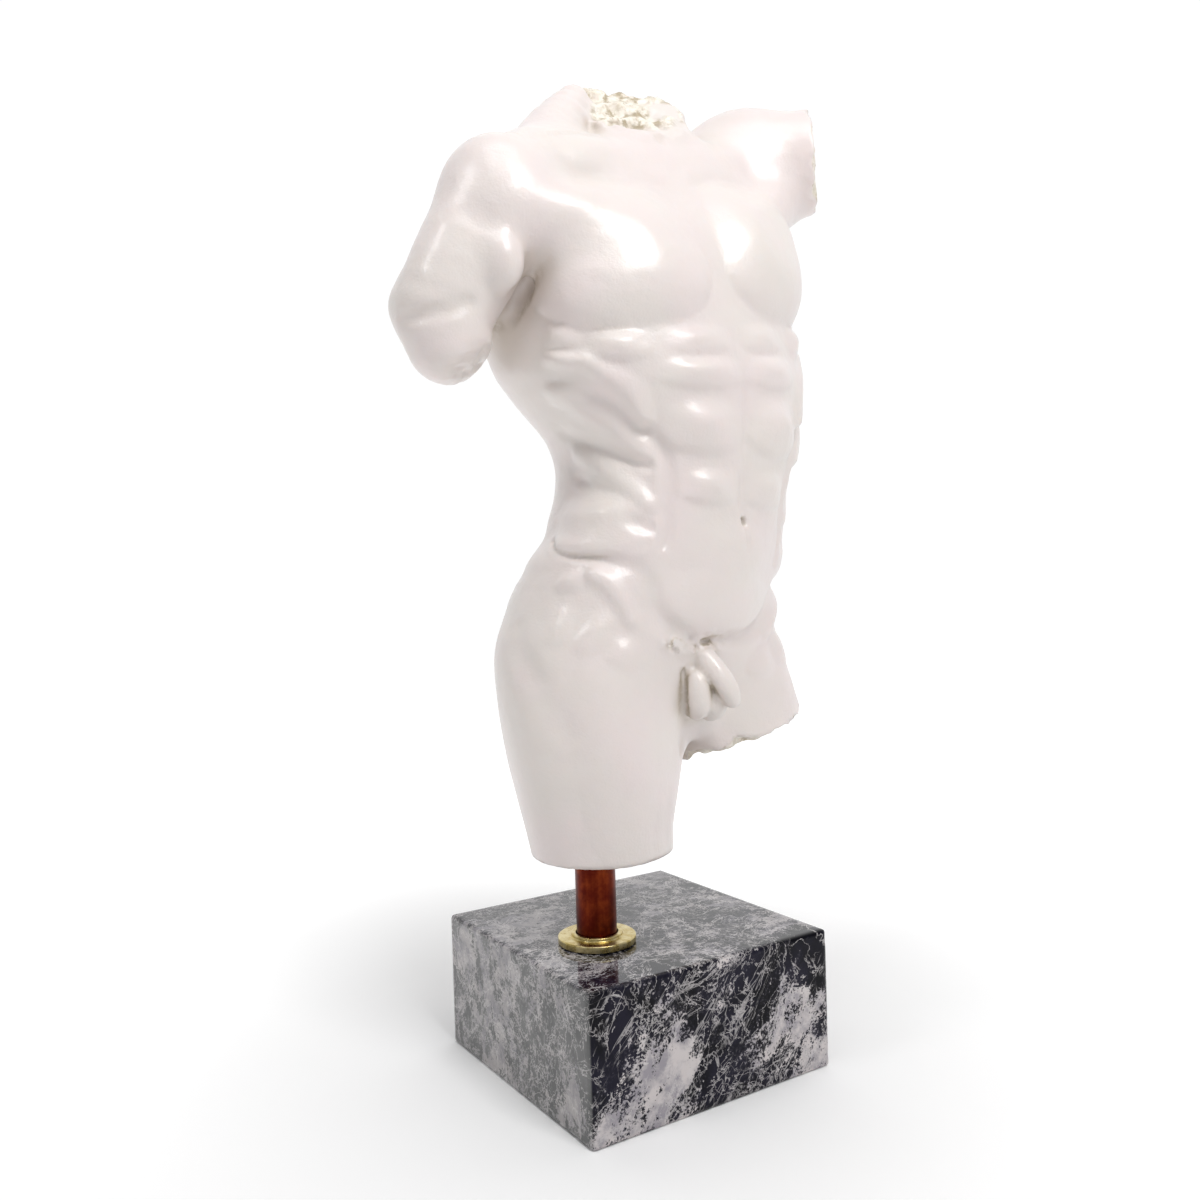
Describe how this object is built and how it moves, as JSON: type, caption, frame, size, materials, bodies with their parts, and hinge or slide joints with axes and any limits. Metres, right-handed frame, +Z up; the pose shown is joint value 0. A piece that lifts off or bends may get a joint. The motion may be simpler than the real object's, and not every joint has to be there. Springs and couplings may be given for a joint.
{
  "type": "marble torso sculpture",
  "caption": "Headless male torso in polished white marble, raised on a copper post with a brass collar over a square block of veined marble.",
  "frame": {"origin": "middle of the square block's underside", "axes": "+Z up, the block's front face towards -Y; the figure is turned 15 degrees to its left, so it faces between -Y and +X"},
  "size_m": [0.1959, 0.1102, 0.3805],
  "materials": {
    "white_marble": "polished white marble with faint warm grey shading, honed by hand, dull and pitted on the breaks",
    "copper": "aged copper, dark red brown with lighter upright streaks",
    "brass": "aged brass, half polished, greenish gold in the corners",
    "veined_marble": "polished grey and black marble with white veins and lilac white clouds"
  },
  "bodies": {
    "root": {"torso": "white_marble", "copper_post": "copper", "brass_collar": "brass", "marble_plinth": "veined_marble"}
  },
  "joints": []
}
